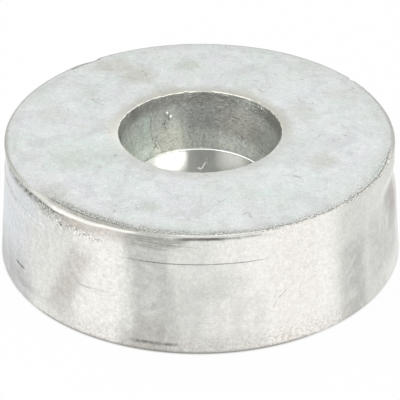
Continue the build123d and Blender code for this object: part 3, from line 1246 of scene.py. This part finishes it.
def side_material(finish):
    """Bright cast side: upright bands, oxide speckle, cracks and a rough skin, with painted
    shadow along the foot and under the front burr, and painted shade over the joint ledge at the
    left.
    """
    m = ZincMaterial("zinc_cast_side")
    n = m.n
    streaks = m.stretched((1.0, 1.0, 0.10), 150.0, 4.0, 0.6)
    clouds = m.effect(mottle(), Scale=40.0)
    wisps = n.noise(m.vector, 120.0, 5.0, 0.62, 1.2)
    speckle = n.noise(m.vector, 1250.0, 2.0, 0.7)
    rings = m.ringed((7.0, 7.0, 2.4), 3.0, 0.65)
    skin = m.stored("rough_skin")

    grey = m.most((
        m.band(-102.5, 3.5, 5.0, Lean=-0.12, Strength=0.80),
        m.band(-92.0, 6.0, 6.0, High=27.0, Strength=0.28),
        m.band(-42.0, 2.0, 6.5, High=30.0, Fade=8.0, Strength=0.92),
        m.band(-36.0, 9.0, 5.0, Strength=0.30),
        m.band(-24.0, 8.0, 7.0, Low=3.0, High=33.0, Fade=7.0, Strength=0.66),
        m.band(-16.0, 4.0, 5.0, Low=12.0, High=34.0, Strength=0.95),
        m.band(-17.0, 5.0, 6.0, Low=33.0, Fade=3.0, Strength=0.45),
        m.band(-161.0, 12.0, 8.0, High=20.0, Fade=15.0, Strength=0.95),
        m.band(-104.0, 6.0, 5.0, High=12.0, Fade=8.0, Strength=0.65),
        m.band(-77.0, 3.0, 4.0, High=22.0, Strength=0.32),
        m.band(-82.0, 3.0, 6.0, Low=17.0, High=30.0, Strength=0.20)))
    grey = n.times(grey, n.ramp(wisps, 0.36, 0.56, 0.55, 1.0))
    brown = m.most((
        m.band(-129.0, 1.5, 5.0, Lean=0.40, Low=1.0, High=33.0, Fade=7.0, Strength=0.85),
        m.band(-12.0, 4.0, 6.0, Low=19.0, High=31.0, Fade=4.0)))
    brown = n.times(brown, n.ramp(wisps, 0.36, 0.56, 0.5, 1.0))
    blue = m.most((
        m.band(-163.0, 7.0, 16.0, High=30.0, Fade=2.5),
        m.band(-156.0, 7.0, 14.0, Low=27.5, High=48.0, Fade=2.5, Strength=0.9)))
    bright = m.most((
        m.band(-65.0, 11.0, 9.0), m.band(-119.0, 4.0, 7.0, Strength=0.85),
        m.band(-84.0, 3.0, 4.0, Low=4.0, High=21.0, Fade=4.0, Strength=0.6),
        m.band(-177.0, 5.0, 6.0, Low=26.0, High=37.0, Fade=3.0, Strength=0.8),
        m.band(-76.0, 6.0, 8.0, Low=26.0, Strength=0.7)))
    warm = n.times(m.band(-63.0, 5.0, 4.0), n.ramp(speckle, 0.40, 0.60))
    foot = n.times(
        n.ramp(m.height, 9.0, 1.0), m.band(-88.0, 34.0, 20.0), n.ramp(speckle, 0.42, 0.64))
    comb = m.stretched((1.0, 1.0, 0.2), 900.0, 2.0, 0.7)
    stain = n.times(
        m.band(-102.5, 5.0, 3.0, Low=2.3, High=4.0, Fade=0.6),
        n.ramp(comb, 0.38, 0.54, 0.3, 1.0))
    # Painted shadow: darker along the foot, where the side meets the floor, weaker at the left
    # and at the right.
    contact_shadow = m.most((m.band(-160.0, 14.0, 10.0), m.band(-38.0, 16.0, 10.0)))
    contact_shadow = n.times(n.muladd(contact_shadow, -0.66, 0.80), n.ramp(m.height, 1.5, 0.3))
    tone = m.lay(
        (0.745, 0.745, 0.71),
        (n.ramp(streaks, 0.40, 0.60), finish.side_colour),
        (n.ramp(clouds, 0.42, 0.60, 0.0, 0.35), (0.70, 0.70, 0.665)),
        (n.times(bright, 0.85), (0.935, 0.92, 0.88)),
        (n.times(blue, 0.80), (0.645, 0.675, 0.71)),
        (n.times(grey, 0.80), (0.46, 0.46, 0.435)),
        (n.times(brown, 0.55), (0.44, 0.395, 0.355)),
        (n.times(warm, 0.30), (0.80, 0.69, 0.62)),
        (n.times(foot, 0.46), (0.46, 0.38, 0.31)),
        (m.band(-104.0, 3.0, 3.0, High=14.0, Strength=0.45), (0.40, 0.38, 0.35)),
        (m.band(-158.0, 14.0, 8.0, Low=3.0, High=8.0, Fade=2.5, Strength=0.30),
         (0.40, 0.40, 0.40)),
        (n.times(stain, 0.7), finish.dirt_and_shade_colour),
        (contact_shadow, finish.dirt_and_shade_colour))

    reddish = m.band(-119.0, 10.0, 6.0, Low=30.0, Fade=2.0)
    skin_tone = n.mix(reddish, (0.30, 0.31, 0.275), (0.42, 0.36, 0.305))
    skin_tone = n.mix(m.band(-100.0, 8.0, 5.0), skin_tone, (0.49, 0.49, 0.455))
    streaky = m.band(-92.0, 14.0, 8.0, Low=30.0, Fade=2.0)
    flecked = n.ramp(
        speckle, 0.42, 0.56, n.muladd(reddish, 0.25, 0.20), n.muladd(reddish, -0.30, 0.90))
    broken = n.math("MAXIMUM", flecked, n.times(streaky, n.ramp(rings, 0.40, 0.55)))
    depth = n.times(m.stored("from_rim"), -1.0)
    fringe = n.times(n.near(depth, 5.6, 0.6, 2.0), m.band(-127.0, 8.0, 6.0))
    tone = m.lay(
        tone,
        (n.times(skin, broken), skin_tone),
        (n.times(fringe, n.ramp(speckle, 0.44, 0.38)), (0.98, 0.97, 0.95)))
    fleck = n.noise(m.vector, 620.0, 3.0, 0.62)
    uneven = n.muladd(m.band(-136.0, 30.0, 14.0), 0.26, 0.22)
    tone = n.shade(tone, n.sway(fleck, uneven, 1.0))
    # Painted shade: darker over the joint ledge at the left, so that it catches less of the
    # softbox; its roughness is raised too.
    ledge = m.band(-147.0, 11.0, 8.0, Low=29.7, High=30.9, Fade=0.3)
    tone = n.mix(n.times(ledge, 0.22), tone, (0.50, 0.51, 0.52))
    tone, grain = m.grain(tone, 2300.0, 0.46)

    seam = n.times(
        n.near(m.height, SEAM_HEIGHT_MM, 0.10, 0.30), m.band(-92.0, 15.0, 7.0),
        n.ramp(rings, 0.35, 0.50, 0.4, 0.8))
    # Painted shadow: a dark line just below the burr of the rim at the front, over the real
    # undercut.
    under = n.times(
        n.near(depth, 1.15, 0.25, 0.60),
        m.most((m.band(-90.0, 4.0, 4.0), m.band(-82.0, 6.0, 4.0, Strength=0.55))),
        n.ramp(rings, 0.34, 0.50, 0.35, 1.0))
    hug = n.times(
        n.near(depth, 1.7, 0.4, 1.2), m.band(-144.0, 8.0, 7.0),
        n.ramp(speckle, 0.46, 0.56, 0.08, 0.80))
    fine_rings = m.ringed((9.0, 9.0, 4.2), 3.0, 0.65)
    streaked = n.times(
        n.ramp(depth, 0.9, 1.6), m.band(-102.0, 6.0, 5.0, Low=33.5, Fade=2.5),
        n.ramp(fine_rings, 0.44, 0.62, 0.0, 0.38))
    specks = n.times(fringe, n.ramp(speckle, 0.58, 0.63, 0.0, 0.8))
    scratches = m.wall_marks(SIDE_RADIUS_MM, SIDE_SCRATCHES)
    marks = m.most((
        seam, scratches, n.times(under, 0.85), hug, streaked, specks,
        n.times(m.stored("pressed"), 0.55)))
    tone = n.mix(marks, tone, (0.13, 0.125, 0.11))

    roughness = n.sway(clouds, 0.30, finish.side_roughness)
    for mask, more in ((skin, 0.25), (grey, 0.10), (ledge, 0.14)):
        roughness = n.muladd(mask, more, roughness)
    height = n.muladd(grain, 0.35, n.times(wisps, 0.35))
    height = n.muladd(skin, speckle, height)
    height = n.math("SUBTRACT", height, n.times(marks, 0.8))
    return m.finish(tone, roughness, height, 0.06)


# Marks on the recess wall, written in the same way as the side's.
RECESS_SCRATCHES = (
    ((128.9, 34.6), (130.8, 29.1), 0.40, 0.45),
    ((130.8, 29.6), (129.8, 25.6), 0.40, 0.45),
    ((116.2, 31.9), (118.3, 30.8), 0.30, 0.85),
    ((118.3, 30.8), (118.0, 29.9), 0.30, 0.85),
    ((118.0, 29.9), (116.2, 28.3), 0.32, 0.75),
    ((62.0, 27.7), (56.5, 27.2), 0.35, 0.50),
    ((56.5, 27.3), (52.3, 25.8), 0.45, 0.60),
    ((55.5, 28.4), (54.2, 24.8), 0.30, 0.45),
    ((52.0, 25.0), (47.5, 25.8), 0.30, 0.40),
    ((66.5, 38.4), (62.5, 37.2), 0.35, 0.50),
    ((97.0, 33.0), (94.0, 36.5), 0.25, 0.35),
    ((124.5, 27.6), (127.3, 26.2), 0.28, 0.40),
)


def recess_material(finish):
    """Dull cored wall: upright streaks and rings, with painted light and shade: a highlight
    patch, shadow under the lip, lighter low and at the left, darker in the middle and on the
    seat.
    """
    m = ZincMaterial("zinc_cored_recess")
    n = m.n
    streaks = m.stretched((1.0, 1.0, 0.10), 420.0, 3.0, 0.6)
    rings = m.ringed((2.2, 2.2, 1.6), 4.0, 0.65)
    clouds = m.effect(mottle(), Scale=70.0)
    # Painted highlight: a pale patch on the wall at the back left; the roughness there is also
    # lowered.
    sheen_patch = n.times(
        m.band(116.0, 7.0, 12.0, High=35.0, Fade=11.0), n.ramp(clouds, 0.36, 0.54, 0.80, 1.0))
    # Painted light: the left of the wall is lighter, as it mirrors the lit right wall.
    left = m.band(152.0, 20.0, 6.0, High=40.0, Fade=4.0)
    # Painted shade: darker in the middle of the back wall and in a patch at the back right.
    middle = m.most((
        m.band(90.0, 8.0, 14.0, Low=10.0, Strength=0.5),
        m.band(81.0, 13.0, 14.0, Low=25.0, Fade=4.0, Strength=0.95),
        m.band(40.0, 5.0, 8.0, Low=25.0, High=34.0, Fade=4.0, Strength=0.55)))
    # Painted light, as on the left: lighter still at the upper left.
    upper_left = m.band(158.0, 9.0, 6.0, Low=30.0, Fade=1.5)
    rusty = m.band(56.0, 12.0, 12.0, Low=24.0, High=38.0, Fade=4.0)
    # Painted light: the wall gets lighter towards the seat.
    lower = n.ramp(m.height, 29.0, 22.0)
    fine = m.ringed((13.0, 13.0, 4.4), 2.0, 0.6)
    upright = m.stretched((1.0, 1.0, 0.12), 1300.0, 2.0, 0.6)
    scraped = m.most((m.band(68.0, 30.0, 18.0, Low=27.0, Fade=5.0), 0.45))
    # Painted shadow: darker below the lip of the mouth, down to a ragged line, weaker in two
    # places.
    shadow_breaks = m.most((m.band(162.0, 8.0, 8.0, Strength=0.45), m.band(58.0, 6.0, 7.0, Strength=0.6)))
    lip_shadow = n.times(
        n.ramp(m.height, n.muladd(clouds, -4.0, 36.2), 37.2), n.muladd(shadow_breaks, -1.0, 1.0))
    tone = m.lay(
        finish.recess_colour,
        (n.ramp(clouds, 0.42, 0.62, 0.0, 0.45), (0.50, 0.51, 0.49)),
        (n.times(lower, 0.7), (0.91, 0.93, 0.875)),
        (n.times(left, 0.60), (0.76, 0.84, 0.78)),
        (n.times(upper_left, 0.85), (0.86, 0.885, 0.85)),
        (n.times(middle, 0.85), (0.39, 0.41, 0.39)),
        (n.times(rusty, 0.35), (0.54, 0.46, 0.42)),
        (sheen_patch, (0.98, 0.98, 0.89)),
        (n.times(lip_shadow, 0.70), (0.30, 0.29, 0.27)))
    tone = n.shade(tone, n.sway(rings, 0.40, n.sway(streaks, 0.40, 1.0)))
    pale_rings = n.times(scraped, n.ramp(fine, 0.55, 0.65, 0.0, 0.60))
    pale_streaks = n.times(
        m.band(103.0, 14.0, 6.0, High=29.0), n.ramp(upright, 0.50, 0.62, 0.0, 0.5))
    # Painted shade on the flat of the seat, stronger at the back right.
    seat = n.times(
        n.ramp(m.height, *SEAT_SHADE_MM, 1.0, 0.0),
        n.muladd(m.band(45.0, 30.0, 12.0), 0.45, 0.42))
    tone = m.lay(
        tone, (pale_rings, (0.88, 0.89, 0.84)), (pale_streaks, (0.95, 0.95, 0.88)),
        (seat, (0.26, 0.265, 0.26)))
    tone, grain = m.grain(tone, 2000.0, 0.95)

    raised = m.stored("raised")
    # Painted shade round the foot of each raised bump.
    bump_foot_shade = n.times(n.ramp(raised, 0.01, 0.10), n.ramp(raised, 0.22, 0.45, 0.60, 0.0))
    marks = m.most((
        m.wall_marks(RECESS_RADIUS_MM, RECESS_SCRATCHES), bump_foot_shade,
        n.times(m.stored("pressed"), 0.6),
        n.times(scraped, n.ramp(fine, 0.43, 0.34, 0.0, 0.60))))
    # Painted highlight on the tops of the raised bumps, laid after the marks.
    tone = m.lay(
        tone, (marks, finish.dirt_and_shade_colour), (n.ramp(raised, 0.34, 0.58), (0.99, 0.99, 0.95)))
    roughness = n.sway(clouds, 0.3, finish.recess_roughness)
    roughness = n.muladd(sheen_patch, -0.15, roughness)
    height = n.muladd(streaks, 0.35, n.times(grain, 0.35))
    height = n.muladd(rings, 0.5, height)
    height = n.muladd(fine, 0.5, height)
    return m.finish(tone, roughness, height, 0.07)


# Bright scratches in the bore wall, written in the same way as the side's.
BORE_SCRATCHES = (
    ((92.0, 14.1), (88.6, 13.2), 0.50, 1.00),
    ((88.8, 13.1), (84.6, 16.5), 0.36, 1.00),
    ((76.0, 15.9), (72.8, 15.3), 0.42, 1.00),
    ((72.0, 15.5), (70.4, 15.1), 0.36, 1.00),
    ((84.0, 18.6), (83.4, 14.5), 0.22, 0.30),
)


def bore_material(finish):
    """Smooth bored metal with very fine turning marks, and the seat above it."""
    m = ZincMaterial("zinc_bored")
    n = m.n
    turning = m.ringed((0.6, 0.6, 9.0), 3.0, 0.6)
    clouds = m.effect(mottle(), Scale=80.0)
    holes = m.effect(pits(), Scale=420.0, Share=0.05)
    tone = n.shade(finish.bore_colour, n.sway(turning, 0.10, n.sway(clouds, 0.25, 1.0)))
    tone, _ = m.grain(tone, 1500.0, 0.25)
    marks = m.most((n.times(holes, 0.4), n.times(m.stored("pressed"), 0.3)))
    scratches = m.wall_marks(BORE_RADIUS_MM, BORE_SCRATCHES)
    tone = m.lay(tone, (marks, finish.dirt_and_shade_colour), (scratches, (0.98, 0.98, 0.96)))
    dull = n.times(scratches, m.band(88.0, 6.0, 3.0))
    roughness = n.muladd(clouds, 0.10, finish.bore_roughness - 0.05)
    roughness = n.muladd(dull, 0.65, roughness)
    height = n.math("SUBTRACT", n.times(turning, 0.25), holes)
    return m.finish(tone, roughness, height, 0.012)


def base_material(finish):
    """Plain cast base, duller than the side."""
    m = ZincMaterial("zinc_cast_base")
    n = m.n
    clouds = m.effect(mottle(), Scale=30.0)
    tone = n.mix(n.ramp(clouds, 0.40, 0.62), (0.52, 0.54, 0.53), finish.face_colour)
    tone, grain = m.grain(tone, 1100.0, 0.6)
    return m.finish(tone, n.muladd(clouds, 0.25, 0.40), grain, 0.06)


def casting_materials(finish):
    """Materials in the order of the zones."""
    return (
        face_material(finish), rim_material(finish), side_material(finish),
        recess_material(finish), bore_material(finish), base_material(finish),
    )


# ---------------------------------------------------------------- studio

def seen_by_lens_or_metal(n):
    """Mask of the rays that show a background: camera, glossy and transmission."""
    path = n.add("ShaderNodeLightPath").outputs
    glass = n.math("MAXIMUM", path["Is Glossy Ray"], path["Is Transmission Ray"])
    return n.math("MAXIMUM", path["Is Camera Ray"], glass)


# Half the floor's width, how far it lies below the casting, and the radii between
# which the grey floor under the casting, a painted shadow, gives way to the pale one.
FLOOR_REACH = 3.0
FLOOR_GAP = 0.03 * MM
FLOOR_SHADOW_R = (62.5 * MM, 64.5 * MM)
FLOOR_GLOW = 0.95


def build_floor(studio):
    """Pale table that shows near white and keeps the casting's shadow, with a painted shadow: a
    grey floor under the casting.
    """
    bm = bmesh.new()
    bmesh.ops.create_grid(bm, x_segments=2, y_segments=2, size=FLOOR_REACH)
    bmesh.ops.translate(bm, verts=bm.verts[:], vec=(0, 0, -FLOOR_GAP))
    mesh = bpy.data.meshes.new("studio_floor")
    bm.to_mesh(mesh)
    bm.free()
    floor = bpy.data.objects.new("studio_floor", mesh)
    bpy.context.scene.collection.objects.link(floor)

    material = bpy.data.materials.new("pale_table")
    material.use_nodes = True
    n = Nodes(material.node_tree)
    shader = material.node_tree.nodes["Principled BSDF"]
    shader.inputs["Roughness"].default_value = 0.9
    shader.inputs["Specular IOR Level"].default_value = 0.0
    glow = n.add("ShaderNodeEmission", inputs={"Color": (1, 1, 1, 1), "Strength": 1.0})
    place = n.add("ShaderNodeTexCoord").outputs["Object"]
    # Painted shadow: grey under the casting, where the floor also has no glow.
    outside = n.ramp(n.vector("LENGTH", place), *FLOOR_SHADOW_R)
    n.feed(shader.inputs["Base Color"],
           n.mix(outside, studio.floor_shadow_colour, studio.floor_colour))
    factor = n.times(seen_by_lens_or_metal(n), FLOOR_GLOW, outside)
    blend = n.add("ShaderNodeMixShader", inputs={0: factor, 1: shader, 2: glow})
    output = material.node_tree.nodes["Material Output"]
    n.feed(output.inputs["Surface"], blend)
    mesh.materials.append(material)
    return floor


def build_world(studio):
    """Plain pale surroundings: white to the lens and the metal, dimmer as light."""
    world = bpy.data.worlds.new("studio_world")
    world.use_nodes = True
    bpy.context.scene.world = world
    n = Nodes(world.node_tree)
    background = world.node_tree.nodes["Background"]
    background.inputs["Color"].default_value = (1.0, 1.0, 1.0, 1.0)
    strength = n.add("ShaderNodeMapRange", inputs={
        "Value": seen_by_lens_or_metal(n), "To Min": studio.ambient,
        "To Max": studio.backdrop})
    n.feed(background.inputs["Strength"], strength)


LAMPS = (
    # name, place in m, size in m, watts
    ("left_softbox", (-0.95, -0.10, 0.75), 1.80, 5.4),
    ("overhead_softbox", (0.05, 0.15, 1.20), 1.80, 4.6),
    ("right_fill", (0.90, -0.60, 0.70), 1.60, 1.6),
)


BEAMS = (
    # name, place and aim in m, height of the cone in degrees, its width as a
    # multiple of that, watts
    ("left_beam", (-0.2998, 0.0132, 0.3887), (-0.0157, 0.0008, 0.0400), 1.93, 1.69, 70.0),
    ("right_beam", (0.3094, 0.0005, 0.3801), (0.0148, 0.0005, 0.0400), 2.17, 1.87, 12.5),
)
BEAM_BLEND = 0.60
BEAM_SOURCE_R = 0.006


def hang_lamp(lamp, place, target):
    """Puts a lamp in its place, aimed at a point."""
    holder = bpy.data.objects.new(lamp.name, lamp)
    holder.location = place
    aim = Vector(target) - Vector(place)
    holder.rotation_euler = aim.to_track_quat("-Z", "Y").to_euler()
    bpy.context.scene.collection.objects.link(holder)
    return holder


def build_lamps():
    """Soft lamps round the casting, and narrow beams down through its bore."""
    for name, place, size, watts in LAMPS:
        lamp = bpy.data.lights.new(name, "AREA")
        lamp.shape = "DISK"
        lamp.size = size
        lamp.energy = watts
        hang_lamp(lamp, place, (0, 0, cad_height / 2))
    for name, place, target, cone, width, watts in BEAMS:
        lamp = bpy.data.lights.new(name, "SPOT")
        lamp.spot_size = math.radians(cone)
        lamp.spot_blend = BEAM_BLEND
        lamp.shadow_soft_size = BEAM_SOURCE_R
        lamp.energy = watts
        hang_lamp(lamp, place, target).scale = (width, 1.0, 1.0)


SENSOR_WIDTH_MM = 36.0
CLIP_RANGE = (0.05, 20.0)


def build_camera(studio):
    """Camera in front of the casting, above it and tilted down to it."""
    camera = bpy.data.cameras.new("camera")
    camera.lens = studio.lens_mm
    camera.sensor_width = SENSOR_WIDTH_MM
    camera.clip_start, camera.clip_end = CLIP_RANGE
    holder = bpy.data.objects.new("camera", camera)
    level, up = math.cos(studio.camera_elevation), math.sin(studio.camera_elevation)
    place = Vector((0, -studio.camera_distance * level, studio.camera_distance * up))
    tilt = Matrix.Rotation(math.pi / 2 - studio.camera_pitch, 4, "X")
    roll = Matrix.Rotation(studio.camera_roll, 4, "Z")
    top = Vector((0, 0, cad_height))
    holder.matrix_world = Matrix.Translation(place + top) @ tilt @ roll
    bpy.context.scene.collection.objects.link(holder)
    bpy.context.scene.camera = holder


# ---------------------------------------------------------------- operators

class ANODE_OT_add_casting(bpy.types.Operator):
    """Model the zinc ring with its cast and hand-worked forms"""

    bl_idname = "anode.add_casting"
    bl_label = "Add Zinc Casting"
    bl_options = {"REGISTER", "UNDO"}

    def execute(self, context):
        scene = context.scene
        casting = build_casting(scene.anode_casting, scene.anode_finish)
        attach(casting, BODY)
        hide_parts(NODE)
        return {"FINISHED"}


class ANODE_OT_add_stage(bpy.types.Operator):
    """Add the floor, the plain surroundings, the lamps and the camera"""

    bl_idname = "anode.add_stage"
    bl_label = "Add Studio"
    bl_options = {"REGISTER", "UNDO"}

    def execute(self, context):
        scene = context.scene
        studio = scene.anode_studio
        build_floor(studio)
        build_world(studio)
        build_lamps()
        build_camera(studio)
        scene.view_settings.view_transform = "Standard"
        return {"FINISHED"}


class ANODE_PT_panel(bpy.types.Panel):
    """Sizes, finish and studio of the ring anode"""

    bl_idname = "ANODE_PT_panel"
    bl_label = "Ring Anode"
    bl_space_type = "VIEW_3D"
    bl_region_type = "UI"
    bl_category = "Ring Anode"

    def draw(self, context):
        layout = self.layout
        layout.use_property_split = True
        for holder, group in SETTINGS:
            box = layout.box()
            box.label(text=group.__doc__)
            for name in group.__annotations__:
                box.prop(getattr(context.scene, holder), name)
        layout.operator(ANODE_OT_add_casting.bl_idname)
        layout.operator(ANODE_OT_add_stage.bl_idname)


CLASSES = (
    AnodeCastingSizes, AnodeFinish, AnodeStudio,
    ANODE_OT_add_casting, ANODE_OT_add_stage, ANODE_PT_panel,
)


def register():
    for item in CLASSES:
        bpy.utils.register_class(item)
    for holder, group in SETTINGS:
        setattr(bpy.types.Scene, holder, bpy.props.PointerProperty(type=group))


def unregister():
    for holder, _ in SETTINGS:
        delattr(bpy.types.Scene, holder)
    for item in reversed(CLASSES):
        bpy.utils.unregister_class(item)


def main():
    register()
    bpy.ops.anode.add_casting()
    bpy.ops.anode.add_stage()


if __name__ == "__main__":
    main()
